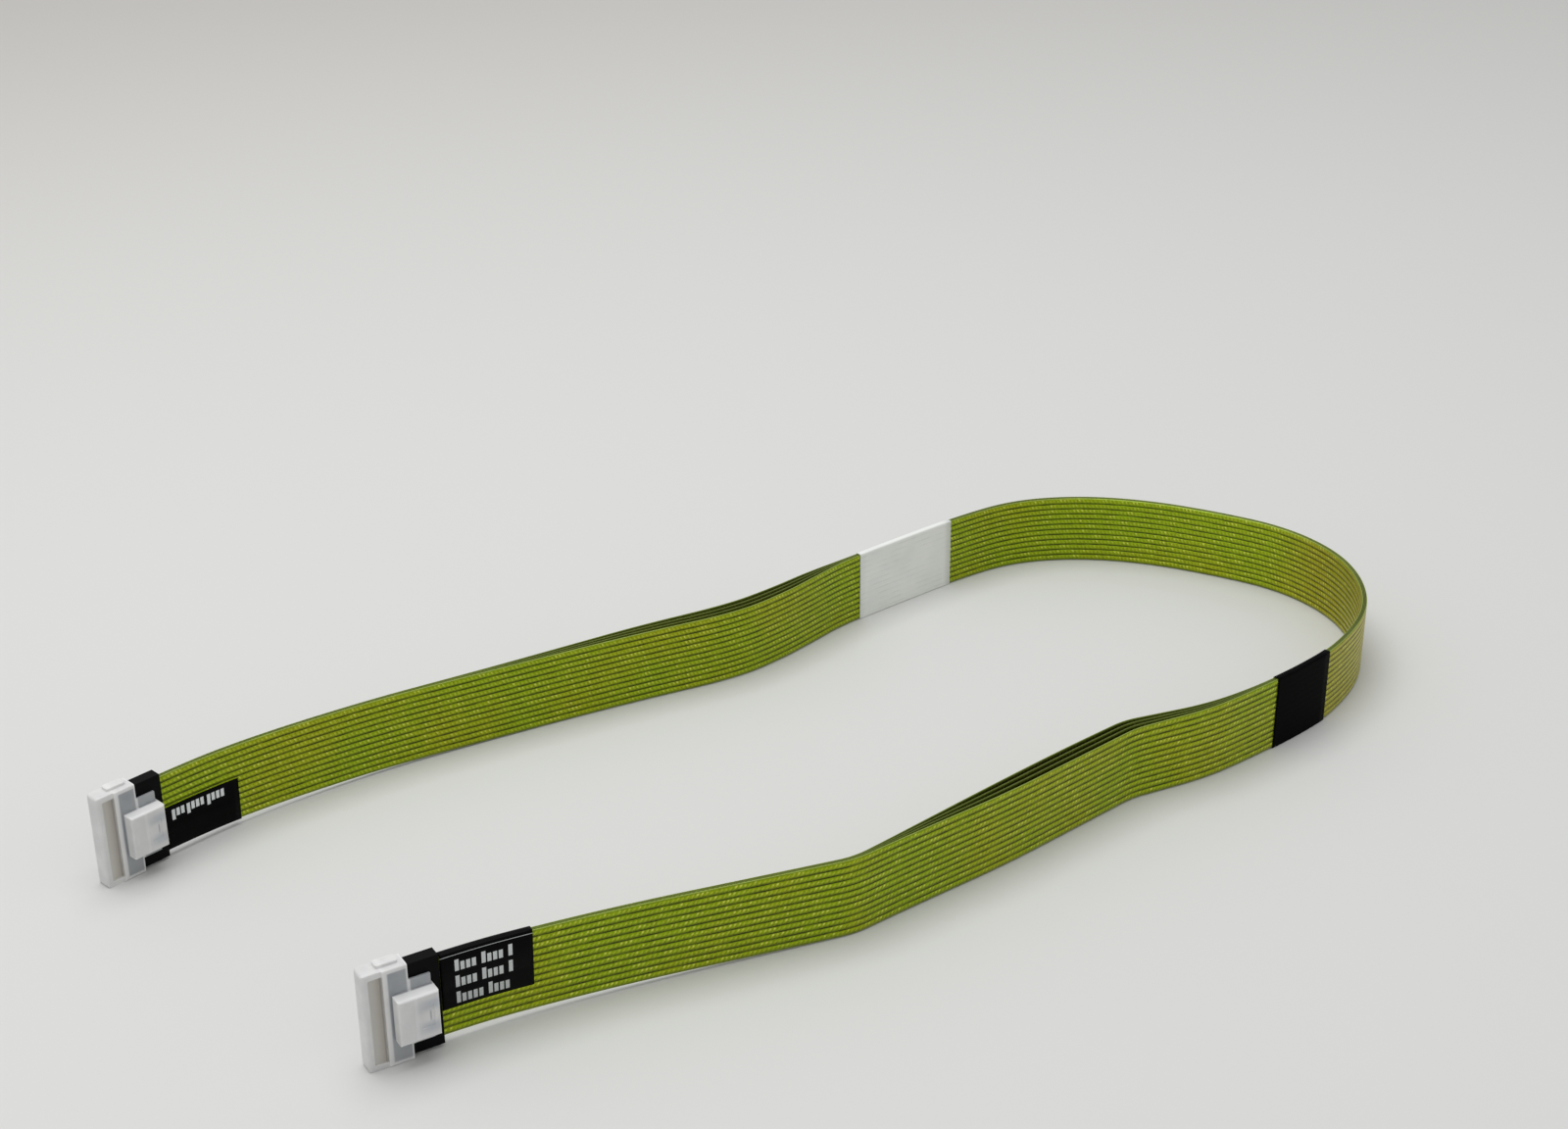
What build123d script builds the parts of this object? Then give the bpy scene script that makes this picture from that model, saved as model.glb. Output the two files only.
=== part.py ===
"""Flat internal data cable: four stacked twin-lead ribbons between two latching card-edge plugs.

The cable stands on its edge in a long U, whose legs run along X, and each plug wears a dust cap. All lengths
are in millimetres, +Z is up, and the surface that the cable stands on is Z = 0.
"""

import os
from math import cos, radians, sin, tan

from build123d import *

os.makedirs("parts", exist_ok=True)

# --- ribbon stack --------------------------------------------------------------------------------------
RIBBONS = 4
RIBS = 12
RIB_PITCH = 2.05
RIBBON_MARGIN = 0.1
RIBBON_THICKNESS = 0.40
LAYER_GAP = 0.04
RIBBON_WIDTH = RIBS * RIB_PITCH + 2 * RIBBON_MARGIN
LAYER_PITCH = RIBBON_THICKNESS + LAYER_GAP
STACK_THICKNESS = (RIBBONS - 1) * LAYER_PITCH + RIBBON_THICKNESS

# --- labels and tape -----------------------------------------------------------------------------------
WRAP_CLEARANCE = 0.15
LABEL_THICKNESS = 0.15
LABEL_START, LABEL_LENGTH = 265.0, 44.0  # along the stack, from the ribbons' end in plug A
TAPE_THICKNESS = 0.13
TAPE_START, TAPE_LENGTH = 543.0, 27.3
FLAG_THICKNESS = 0.14
FLAG_LENGTH = 26.0
FLAG_GAP = 0.3  # between a flag and its plug's back
FLAG_DEPTH = {"a": 14.0, "b": 16.8}  # how far a flag reaches across the ribbons
FLAG_SIDE = {"a": -1, "b": 1}  # the edge that a flag is folded over: -1 the lower, 1 the upper

# --- plug: X from the nose (minus) to the cable (plus), latch on the -Y side, Z across the plug --------
SHELL_LENGTH = 14.0
SHELL_WALL = 0.85
SHELL_END_WALL = 1.35
SHELL_EDGE = 0.4
BAY_CLEARANCE = 0.35  # each side of the ribbons, inside the shells
BAY_THICKNESS = STACK_THICKNESS + 2 * BAY_CLEARANCE
BAY_WIDTH = RIBBON_WIDTH + 2 * BAY_CLEARANCE
SHELL_THICKNESS = BAY_THICKNESS + 2 * SHELL_WALL
SHELL_WIDTH = BAY_WIDTH + 2 * SHELL_END_WALL
PEG_RADIUS = 0.4
PEG_CLEARANCE = 0.05
PEG_DEPTH = 1.2
PEG_SPACING = 8.0

CARD_THICKNESS = 0.8
CARD_LENGTH = 11.2
CARD_CHAMFER = 0.2

NOSE_LENGTH = 6.0
NOSE_WALL = 0.5
NOSE_CHAMFER = 0.25
NOSE_GAP = 0.6  # from the card to the nose's wall
NOSE_NECK = 3.0
NECK_CLEARANCE = 0.05
NOSE_THICKNESS = CARD_THICKNESS + 2 * (NOSE_GAP + NOSE_WALL)
CARD_SETBACK = 0.8  # from the nose's rim to the card's edge
CARD_CLEARANCE = 0.05
PAD_PITCH = 0.6
PAD_MARGIN = 1.0  # at least this much bare card at each end of the row
PAD_SIZE = (2.5, 0.38)
PAD_THICKNESS = 0.05
PAD_SETBACK = 0.3

RIBBON_SEAT = 4.0  # how far the ribbons reach into the shells
WELL_DEPTH = 0.45

LATCH_WIDTH = 9.6
LATCH_LENGTH = 9.0  # from the pin to the front face
LATCH_HEIGHT = 3.7  # from the shell to the top of the button
LATCH_GAP = 0.65  # between the shell and the button's underside
LATCH_PIN_X = -3.6
LATCH_PIN_RISE = 0.95  # of the pin above the shell
LATCH_PIN_RADIUS = 0.45
LATCH_PIN_CLEARANCE = 0.05
BARREL_RADIUS = 0.85
EAR_THICKNESS = 0.9
EAR_CLEARANCE = 0.15
EAR_LENGTH = 1.8
GRIP_RIDGES = 4
GRIP_DEPTH = 0.3
LEAF_THICKNESS = 0.25
LEAF_SETBACK = 1.05  # from the pin to the end of the leaf
TOOTH_HEIGHT = 1.2
TOOTH_WIDTH = 1.5
TOOTH_SPACING = 6.4

# --- dust cap ------------------------------------------------------------------------------------------
CAP_CLEARANCE = 0.15
CAP_WALL = 0.75
CAP_END_WALL = 1.2
CAP_END_GAP = 0.4
SLAB_WALL = 0.95
SLAB_ROUND = 0.8
SLAB_PANEL_LIP = 1.8
SLAB_PANEL_DEPTH = 0.5
BODY_LEAD = 2.0  # how far the cap's body starts ahead of the shells
BODY_OVERLAP = 5.0  # how far it reaches over them
SHOULDER_WIDTH = 20.0
SHOULDER_OVERLAP = 11.1
HUMP_HEADROOM = 0.55  # over the latch
HUMP_OVERLAP = 11.6
HUMP_ROUND = 0.7
BODY_ROUND = 0.5
LUG_LENGTH = 6.2
LUG_THICKNESS = 3.2
LUG_ROUND = 0.64
LUG_HEIGHT = 0.8
LUG_OFFSET = 0.7
MARK_SIZE = (3.6, 6.4)
MARK_DEPTH = 0.2

CAP_WIDTH = SHELL_WIDTH + 2 * (CAP_CLEARANCE + CAP_WALL)
BODY_THICKNESS = SHELL_THICKNESS + 2 * (CAP_CLEARANCE + CAP_WALL)
SLAB_THICKNESS = NOSE_THICKNESS + 2 * (CAP_CLEARANCE + SLAB_WALL)
CAP_TIP = -(SHELL_LENGTH + NOSE_LENGTH + CAP_END_GAP + CAP_END_WALL)
PLUG_HEIGHT = CAP_WIDTH / 2  # a plug's middle, as its cap stands on the surface
REST_HEIGHT = WRAP_CLEARANCE + LABEL_THICKNESS  # of the ribbons' lower edge, where the label carries them
EXIT_LIFT = PLUG_HEIGHT - RIBBON_WIDTH / 2 - REST_HEIGHT

# --- where the plugs lie: the middle of a plug's back, and the heading of the cable as it leaves -------
PLUGS = {"a": ((-188.8, 66.1), 13.5), "b": ((-161.4, -61.8), -2.5)}
EXIT_RUN = 9.0

# --- the stack's route from plug A to plug B: x, y, lift above the rest height, distance between layers ---
TIGHT = LAYER_PITCH
ROUTE = [
    (-164.3, 71.5, 1.9, TIGHT),
    (-142.3, 73.9, 1.4, TIGHT),
    (-112.3, 75.3, 0.7, TIGHT),
    (-82.3, 74.1, 0.2, 0.6),
    (-50.3, 72.5, 0.0, 1.1),
    (-20.3, 70.5, 0.0, 1.8),
    (11.7, 66.5, 0.0, 2.2),
    (31.7, 69.0, 0.0, 1.9),
    (48.7, 72.9, 0.0, 1.4),
    (63.7, 75.7, 0.0, TIGHT),
    (91.7, 79.0, 0.0, TIGHT),
    (119.7, 81.7, 0.0, TIGHT),
    (143.7, 81.3, 0.0, TIGHT),
    (165.7, 70.9, 0.0, TIGHT),
    (183.7, 53.8, 0.0, TIGHT),
    (197.7, 32.1, 0.0, TIGHT),
    (208.9, 8.8, 0.0, TIGHT),
    (209.7, -15.9, 0.0, TIGHT),
    (200.7, -37.3, 0.0, TIGHT),
    (184.7, -54.7, 0.0, TIGHT),
    (159.7, -66.6, 0.0, TIGHT),
    (138.7, -70.7, 0.0, TIGHT),
    (117.7, -72.8, 0.0, TIGHT),
    (97.7, -73.2, 0.0, 1.0),
    (69.7, -68.1, 0.0, 1.9),
    (41.7, -71.6, 0.0, 2.1),
    (13.7, -75.5, 0.0, 2.0),
    (-14.3, -78.6, 0.0, 1.1),
    (-42.3, -82.5, 0.0, TIGHT),
    (-74.3, -75.1, 0.5, TIGHT),
    (-105.3, -68.7, 1.2, TIGHT),
    (-132.3, -64.3, 1.7, TIGHT),
]
ARC_SHARE = 0.45  # of the shorter run that a corner's arc takes up


def plug_plane(end):
    """The plug's own axes: X out along the cable, Z up."""
    (x, y), heading = PLUGS[end]
    out = (cos(radians(heading)), sin(radians(heading)), 0)
    return Plane(origin=(x, y, PLUG_HEIGHT), x_dir=out, z_dir=(0, 0, 1))


def save(part, name):
    part.label = name
    export_step(part, f"parts/{name}.step")


def save_at_both_ends(part, name):
    for end in PLUGS:
        save(part.moved(plug_plane(end).location), f"{name}_{end}")


# --- routes --------------------------------------------------------------------------------------------
def stack_route():
    """The route's rows with the two straight exits, which lie on the plugs' own axes."""
    rows = []
    for end in PLUGS:
        plane = plug_plane(end)
        seat, leave = plane.from_local_coords((-RIBBON_SEAT, 0, 0)), plane.from_local_coords((EXIT_RUN, 0, 0))
        rows.append([(point.X, point.Y, EXIT_LIFT, TIGHT) for point in (seat, leave)])
    return rows[0] + ROUTE + rows[1][::-1]


def offset_route(layer):
    """Points of the line that lies `layer` layer distances to the left of the stack's middle."""
    rows = stack_route()
    points = []
    for index, (x, y, lift, spread) in enumerate(rows):
        before, after = rows[max(index - 1, 0)], rows[min(index + 1, len(rows) - 1)]
        run_in = Vector(x - before[0], y - before[1]) if index else Vector(after[0] - x, after[1] - y)
        run_out = Vector(after[0] - x, after[1] - y) if index < len(rows) - 1 else run_in
        bisector = (run_in.normalized() + run_out.normalized()).normalized()
        mitre = 1 / cos(radians(run_in.get_angle(run_out) / 2))
        shift = layer * spread * mitre
        height = REST_HEIGHT + lift + RIBBON_WIDTH / 2
        points.append(Vector(x - bisector.Y * shift, y + bisector.X * shift, height))
    return points


def corner_radii(points):
    radii = []
    for before, here, after in zip(points, points[1:], points[2:]):
        run_in, run_out = here - before, after - here
        half_turn = radians(run_in.get_angle(run_out) / 2)
        radii.append(ARC_SHARE * min(run_in.length, run_out.length) / tan(half_turn))
    return radii


def section_plane(line):
    """The plane across a line's start: X to the left of the way it goes, Y up."""
    along = line % 0
    left = Vector(-along.Y, along.X, 0)
    return Plane(origin=line @ 0, x_dir=left, z_dir=along)


# --- ribbons -------------------------------------------------------------------------------------------
for number in range(RIBBONS):
    layer = (RIBBONS - 1) / 2 - number
    corners = offset_route(layer)
    bends = corner_radii(corners)
    with BuildPart() as ribbon:
        with BuildLine() as ribbon_line:
            FilletPolyline(*corners, radius=bends)
        with BuildSketch(section_plane(ribbon_line.wire())):
            Rectangle(RIBBON_THICKNESS, RIBBON_WIDTH)
        sweep()
    length = ribbon_line.wire().length
    swept = RIBBON_THICKNESS * RIBBON_WIDTH * length
    print(f"ribbon {number + 1}: {length:.1f} mm long, volume ratio {ribbon.part.volume / swept:.4f}")
    print("  radii " + " ".join(f"{radius:.0f}" for radius in bends))
    save(ribbon.part, f"ribbon_{number + 1}")

# --- labels and tape that go round the stack -----------------------------------------------------------
middle = offset_route(0)
with BuildLine() as middle_line:
    FilletPolyline(*middle, radius=corner_radii(middle))
stack_line = middle_line.wire()


def stretch_of_stack(start, length):
    return stack_line.trim(start / stack_line.length, (start + length) / stack_line.length)


def wrap(start, length, thickness, name):
    """A closed band round all the ribbons."""
    inside = (STACK_THICKNESS + 2 * WRAP_CLEARANCE, RIBBON_WIDTH + 2 * WRAP_CLEARANCE)
    line = stretch_of_stack(start, length)
    with BuildPart() as band:
        with BuildLine():
            add(line)
        with BuildSketch(section_plane(line)):
            Rectangle(inside[0] + 2 * thickness, inside[1] + 2 * thickness)
            Rectangle(*inside, mode=Mode.SUBTRACT)
        sweep()
    save(band.part, name)


wrap(LABEL_START, LABEL_LENGTH, LABEL_THICKNESS, "wrap_label")
wrap(TAPE_START, TAPE_LENGTH, TAPE_THICKNESS, "binding_tape")


def flag(end):
    """A label folded over one edge of the ribbons where they leave a plug."""
    start = RIBBON_SEAT + FLAG_GAP
    if end == "b":
        start = stack_line.length - start - FLAG_LENGTH
    line = stretch_of_stack(start, FLAG_LENGTH)
    inner = STACK_THICKNESS / 2 + WRAP_CLEARANCE
    outer = inner + FLAG_THICKNESS
    side = FLAG_SIDE[end]
    edge = side * (RIBBON_WIDTH / 2 + WRAP_CLEARANCE)
    back = side * (RIBBON_WIDTH / 2 - FLAG_DEPTH[end])
    with BuildPart() as folded:
        with BuildLine():
            add(line)
        with BuildSketch(section_plane(line)):
            with BuildLine():
                Polyline(
                    (-outer, back),
                    (-outer, edge + side * FLAG_THICKNESS),
                    (outer, edge + side * FLAG_THICKNESS),
                    (outer, back),
                    (inner, back),
                    (inner, edge),
                    (-inner, edge),
                    (-inner, back),
                    close=True,
                )
            make_face()
        sweep()
    save(folded.part, f"flag_label_{end}")


for end in PLUGS:
    flag(end)

# --- plug shells ---------------------------------------------------------------------------------------
PEG_Z = (BAY_WIDTH + SHELL_WIDTH) / 4
LATCH_FACE = -SHELL_THICKNESS / 2
PIN_Y = LATCH_FACE - LATCH_PIN_RISE
EAR_INSIDE = LATCH_WIDTH / 2 + EAR_CLEARANCE
EAR_OUTSIDE = EAR_INSIDE + EAR_THICKNESS
FRONT = -SHELL_LENGTH
PEGS = [(FRONT / 2 + step * PEG_SPACING / 2, side * PEG_Z) for step in (-1, 1) for side in (-1, 1)]


def half_shell(side):
    """The plain half of the plug's body on one side of the card: side is -1 for the latch side."""
    with BuildPart() as half:
        with BuildSketch(Plane.YZ.offset(FRONT)):
            with Locations((side * SHELL_THICKNESS / 4, 0)):
                Rectangle(SHELL_THICKNESS / 2, SHELL_WIDTH)
        extrude(amount=SHELL_LENGTH)
        outer = half.faces().sort_by(Axis.Y)[0 if side < 0 else -1].edges().filter_by(Axis.X)
        fillet(outer, SHELL_EDGE)
        with BuildSketch(Plane.YZ.offset(FRONT)):
            Rectangle(BAY_THICKNESS, BAY_WIDTH)
        extrude(amount=SHELL_LENGTH, mode=Mode.SUBTRACT)
    return half.part


PARTING = Plane.ZX  # its normal is +Y, its X axis runs along Z and its Y axis along X
cover_half, base_half = half_shell(1), half_shell(-1)

with BuildPart() as shell_cover:
    add(cover_half)
    with BuildSketch(PARTING):
        with Locations(*[(z, x) for x, z in PEGS]):
            Circle(PEG_RADIUS)
    extrude(amount=-PEG_DEPTH)
save_at_both_ends(shell_cover.part, "shell_cover")

with BuildPart() as shell_base:
    add(base_half)
    with BuildSketch(PARTING):
        with Locations(*[(z, x) for x, z in PEGS]):
            Circle(PEG_RADIUS + PEG_CLEARANCE)
    extrude(amount=-(PEG_DEPTH + PEG_CLEARANCE), mode=Mode.SUBTRACT)
    with BuildSketch(PARTING.offset(LATCH_FACE)):
        with Locations((0, LATCH_PIN_X - BARREL_RADIUS - EAR_CLEARANCE - LATCH_LENGTH / 2)):
            Rectangle(LATCH_WIDTH + 2 * EAR_CLEARANCE, LATCH_LENGTH)
    extrude(amount=WELL_DEPTH, mode=Mode.SUBTRACT)
    with BuildSketch(PARTING.offset(LATCH_FACE)):
        for side in (-1, 1):
            with Locations((side * (EAR_INSIDE + EAR_OUTSIDE) / 2, LATCH_PIN_X)):
                Rectangle(EAR_THICKNESS, EAR_LENGTH)
    extrude(amount=-(LATCH_PIN_RISE + BARREL_RADIUS))
    with BuildSketch(Plane.XY.offset(-EAR_OUTSIDE)):
        with Locations((LATCH_PIN_X, PIN_Y)):
            Circle(LATCH_PIN_RADIUS)
    extrude(amount=2 * EAR_OUTSIDE, mode=Mode.SUBTRACT)
save_at_both_ends(shell_base.part, "shell_base")

# --- nose, card and potting ----------------------------------------------------------------------------
NOSE_TIP = FRONT - NOSE_LENGTH
CARD_WIDTH = BAY_WIDTH - 2 * NECK_CLEARANCE - 2 * NOSE_WALL
CARD_EDGE = NOSE_TIP + CARD_SETBACK
PAD_COUNT = int((CARD_WIDTH - 2 * PAD_MARGIN) / PAD_PITCH)
NECK_END = FRONT + NOSE_NECK

with BuildPart() as plug_nose:
    with BuildSketch(Plane.YZ.offset(NOSE_TIP)):
        Rectangle(NOSE_THICKNESS, BAY_WIDTH + 2 * NECK_CLEARANCE)
    extrude(amount=NOSE_LENGTH)
    chamfer(plug_nose.faces().sort_by(Axis.X)[0].outer_wire().edges(), NOSE_CHAMFER)
    with BuildSketch(Plane.YZ.offset(FRONT)):
        Rectangle(BAY_THICKNESS - 2 * NECK_CLEARANCE, BAY_WIDTH - 2 * NECK_CLEARANCE)
    extrude(amount=NOSE_NECK)
    with BuildSketch(Plane.YZ.offset(NOSE_TIP)):
        Rectangle(NOSE_THICKNESS - 2 * NOSE_WALL, CARD_WIDTH + 2 * CARD_CLEARANCE)
    extrude(amount=NOSE_LENGTH, mode=Mode.SUBTRACT)
    with BuildSketch(Plane.YZ.offset(FRONT)):
        Rectangle(CARD_THICKNESS + 2 * CARD_CLEARANCE, CARD_WIDTH + 2 * CARD_CLEARANCE)
    extrude(amount=NOSE_NECK, mode=Mode.SUBTRACT)
save_at_both_ends(plug_nose.part, "plug_nose")

with BuildPart() as paddle_card:
    with BuildSketch(Plane.YZ.offset(CARD_EDGE)):
        Rectangle(CARD_THICKNESS, CARD_WIDTH)
    extrude(amount=CARD_LENGTH)
    front_edges = paddle_card.faces().sort_by(Axis.X)[0].edges().filter_by(Axis.Z)
    chamfer(front_edges, CARD_CHAMFER)
save_at_both_ends(paddle_card.part, "paddle_card")

with BuildPart() as contact_pads:
    for side in (-1, 1):
        start = side * CARD_THICKNESS / 2
        with BuildSketch(PARTING.offset(start)):
            with Locations((0, CARD_EDGE + PAD_SETBACK + PAD_SIZE[0] / 2)):
                with GridLocations(PAD_PITCH, PAD_PITCH, PAD_COUNT, 1):
                    Rectangle(PAD_SIZE[1], PAD_SIZE[0])
        extrude(amount=side * PAD_THICKNESS)
save_at_both_ends(contact_pads.part, "contact_pads")

with BuildPart() as wire_potting:
    with BuildSketch(Plane.YZ.offset(NECK_END)):
        Rectangle(BAY_THICKNESS - 2 * NECK_CLEARANCE, BAY_WIDTH - 2 * NECK_CLEARANCE)
    extrude(amount=-RIBBON_SEAT - NECK_END)
    with BuildSketch(Plane.YZ.offset(NECK_END)):
        Rectangle(CARD_THICKNESS + 2 * CARD_CLEARANCE, CARD_WIDTH + 2 * CARD_CLEARANCE)
    extrude(amount=CARD_EDGE + CARD_LENGTH + CARD_CLEARANCE - NECK_END, mode=Mode.SUBTRACT)
save_at_both_ends(wire_potting.part, "wire_potting")

# --- latch ---------------------------------------------------------------------------------------------
LATCH_FRONT = LATCH_PIN_X - LATCH_LENGTH
LATCH_UNDER = LATCH_FACE - LATCH_GAP
LATCH_TOP = LATCH_FACE - LATCH_HEIGHT

with BuildPart() as latch_button:
    with BuildSketch(Plane.XY.offset(-LATCH_WIDTH / 2)):
        with BuildLine():
            Polyline(
                (LATCH_FRONT, LATCH_UNDER),
                (LATCH_PIN_X, LATCH_UNDER),
                (LATCH_PIN_X, PIN_Y - BARREL_RADIUS),
                (LATCH_PIN_X - BARREL_RADIUS, LATCH_TOP),
                (LATCH_FRONT, LATCH_TOP),
                close=True,
            )
        make_face()
        with Locations((LATCH_PIN_X, PIN_Y)):
            Circle(BARREL_RADIUS)
        ridge = LATCH_LENGTH / (2 * GRIP_RIDGES + 1)
        for step in range(GRIP_RIDGES):
            with Locations((LATCH_FRONT + (2 * step + 1.5) * ridge, LATCH_TOP)):
                Rectangle(ridge, 2 * GRIP_DEPTH, mode=Mode.SUBTRACT)
        with Locations((LATCH_PIN_X, PIN_Y)):
            Circle(LATCH_PIN_RADIUS + LATCH_PIN_CLEARANCE, mode=Mode.SUBTRACT)
    extrude(amount=LATCH_WIDTH)
save_at_both_ends(latch_button.part, "latch_button")

LEAF_FRONT = LATCH_FRONT - LEAF_THICKNESS
LEAF_LENGTH = LATCH_PIN_X - LEAF_SETBACK - LEAF_FRONT

with BuildPart() as latch_leaf:
    with BuildSketch(Plane.XY.offset(-LATCH_WIDTH / 2)):
        with Locations((LEAF_FRONT + LEAF_LENGTH / 2, LATCH_UNDER + LEAF_THICKNESS / 2)):
            Rectangle(LEAF_LENGTH, LEAF_THICKNESS)
    extrude(amount=LATCH_WIDTH)
    tooth_y = LATCH_UNDER + LEAF_THICKNESS - TOOTH_HEIGHT / 2
    for side in (-1, 1):
        with BuildSketch(Plane.XY.offset(side * TOOTH_SPACING / 2 - TOOTH_WIDTH / 2)):
            with Locations((LEAF_FRONT + LEAF_THICKNESS / 2, tooth_y)):
                Rectangle(LEAF_THICKNESS, TOOTH_HEIGHT)
        extrude(amount=TOOTH_WIDTH)
save_at_both_ends(latch_leaf.part, "latch_leaf")

with BuildPart() as latch_pin:
    with BuildSketch(Plane.XY.offset(-EAR_OUTSIDE)):
        with Locations((LATCH_PIN_X, PIN_Y)):
            Circle(LATCH_PIN_RADIUS)
    extrude(amount=2 * EAR_OUTSIDE)
save_at_both_ends(latch_pin.part, "latch_pin")

# --- dust cap ------------------------------------------------------------------------------------------
SLAB_END = FRONT - BODY_LEAD
SLAB_LENGTH = SLAB_END - CAP_TIP
BODY_END = FRONT + BODY_OVERLAP
SHOULDER_END = FRONT + SHOULDER_OVERLAP
HUMP_END = FRONT + HUMP_OVERLAP
HUMP_START = LEAF_FRONT - 2 * CAP_CLEARANCE - CAP_WALL
HUMP_WIDTH = 2 * (EAR_OUTSIDE + 2 * CAP_CLEARANCE + CAP_WALL)
BODY_FACE = -BODY_THICKNESS / 2
HUMP_FACE = LATCH_TOP - HUMP_HEADROOM - CAP_WALL

with BuildPart() as dust_cap:
    with BuildSketch(Plane.YZ.offset(CAP_TIP)):
        Rectangle(SLAB_THICKNESS, CAP_WIDTH)
    extrude(amount=SLAB_LENGTH)
    fillet(dust_cap.faces().sort_by(Axis.X)[0].edges(), SLAB_ROUND)
    for side in (-1, 1):
        with BuildSketch(PARTING.offset(side * (SLAB_THICKNESS / 2 - SLAB_PANEL_DEPTH))):
            with Locations((0, SLAB_END - (SLAB_LENGTH - SLAB_PANEL_LIP) / 2)):
                Rectangle(CAP_WIDTH - 2 * SLAB_PANEL_LIP, SLAB_LENGTH - SLAB_PANEL_LIP)
        extrude(amount=side * SLAB_THICKNESS, mode=Mode.SUBTRACT)
    with BuildSketch(Plane.YZ.offset(SLAB_END)):
        RectangleRounded(BODY_THICKNESS, CAP_WIDTH, BODY_ROUND)
    extrude(amount=BODY_END - SLAB_END)
    with BuildSketch(Plane.YZ.offset(BODY_END)):
        with Locations((BODY_FACE + CAP_WALL / 2, 0)):
            Rectangle(CAP_WALL, SHOULDER_WIDTH)
    extrude(amount=SHOULDER_END - BODY_END)
    with BuildSketch(Plane.YZ.offset(HUMP_START)):
        with Locations(((HUMP_FACE + BODY_FACE + CAP_WALL) / 2, 0)):
            Rectangle(BODY_FACE + CAP_WALL - HUMP_FACE, HUMP_WIDTH)
    extrude(amount=HUMP_END - HUMP_START)
    fillet(dust_cap.faces().sort_by(Axis.Y)[0].edges(), HUMP_ROUND)
    with BuildSketch(Plane.XY.offset(CAP_WIDTH / 2)):
        with Locations((SLAB_END + LUG_LENGTH / 2 - CAP_WALL, LUG_OFFSET)):
            RectangleRounded(LUG_LENGTH, LUG_THICKNESS, LUG_ROUND)
    extrude(amount=LUG_HEIGHT)
    mark_x = (BODY_END + SHOULDER_END) / 2
    with BuildSketch(PARTING.offset(HUMP_FACE)):
        with Locations((0, mark_x)):
            Rectangle(MARK_SIZE[1], MARK_SIZE[0])
    extrude(amount=MARK_DEPTH, mode=Mode.SUBTRACT)
    # the space for the shells, then for the nose, then for the latch
    with BuildSketch(Plane.YZ.offset(FRONT - CAP_CLEARANCE)):
        Rectangle(SHELL_THICKNESS + 2 * CAP_CLEARANCE, SHELL_WIDTH + 2 * CAP_CLEARANCE)
    extrude(amount=SHELL_LENGTH, mode=Mode.SUBTRACT)
    with BuildSketch(Plane.YZ.offset(NOSE_TIP - CAP_END_GAP)):
        Rectangle(NOSE_THICKNESS + 2 * CAP_CLEARANCE, BAY_WIDTH + 2 * (NECK_CLEARANCE + CAP_CLEARANCE))
    extrude(amount=NOSE_LENGTH + CAP_END_GAP, mode=Mode.SUBTRACT)
    with BuildSketch(Plane.YZ.offset(HUMP_START + CAP_WALL)):
        with Locations(((HUMP_FACE + CAP_WALL + LATCH_FACE) / 2, 0)):
            Rectangle(LATCH_FACE - HUMP_FACE - CAP_WALL, HUMP_WIDTH - 2 * CAP_WALL)
    extrude(amount=SHELL_LENGTH, mode=Mode.SUBTRACT)
save_at_both_ends(dust_cap.part, "dust_cap")
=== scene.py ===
# %% [markdown]
# # A flat internal data cable
# The cable joins two cards inside a computer. Four flat ribbons lie face to face and stand on edge in a
# long U. Each end has a black plug with a latch, and a milky cap slipped over it to keep dust out. The
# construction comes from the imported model. This lesson gives every surface its finish and the ribbons their
# true form.

# %% The frame
import math

import bmesh
import bpy
from mathutils import Matrix, Vector


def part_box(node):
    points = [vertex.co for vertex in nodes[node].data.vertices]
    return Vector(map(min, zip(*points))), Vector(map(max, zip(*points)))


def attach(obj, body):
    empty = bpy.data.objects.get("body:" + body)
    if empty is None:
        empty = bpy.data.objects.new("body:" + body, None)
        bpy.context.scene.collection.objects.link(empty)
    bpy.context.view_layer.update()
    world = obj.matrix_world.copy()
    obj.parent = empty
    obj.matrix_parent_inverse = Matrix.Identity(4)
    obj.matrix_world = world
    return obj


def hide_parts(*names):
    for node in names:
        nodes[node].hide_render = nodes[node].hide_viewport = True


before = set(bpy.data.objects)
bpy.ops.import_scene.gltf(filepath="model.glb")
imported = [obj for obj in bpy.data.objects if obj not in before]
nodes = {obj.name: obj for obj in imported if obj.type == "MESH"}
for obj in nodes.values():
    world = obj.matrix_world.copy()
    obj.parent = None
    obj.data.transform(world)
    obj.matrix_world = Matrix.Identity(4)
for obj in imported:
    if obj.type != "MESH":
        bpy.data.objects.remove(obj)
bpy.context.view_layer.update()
print("nodes in the frame:", len(nodes))

# %% [markdown]
# ## Sizes
# All lengths here are metres, as Blender has them. The ribbons' own sizes are written once, and everything
# that wraps round the ribbons is worked out from them.

# %% Sizes of the ribbons
RIBBONS = 4
RIBS = 12
RIB_PITCH = 0.00205
RIBBON_MARGIN = 0.0001
RIBBON_WIDTH = RIBS * RIB_PITCH + 2 * RIBBON_MARGIN
RIB_THICKNESS = 0.00042
WEB_THICKNESS = 0.00016
TIGHT = 0.00044  # from ribbon to ribbon where they lie face to face
STACK_THICKNESS = (RIBBONS - 1) * TIGHT + RIB_THICKNESS
print("ribbon width:", round(RIBBON_WIDTH, 4), "stack thickness:", round(STACK_THICKNESS, 5))

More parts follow.
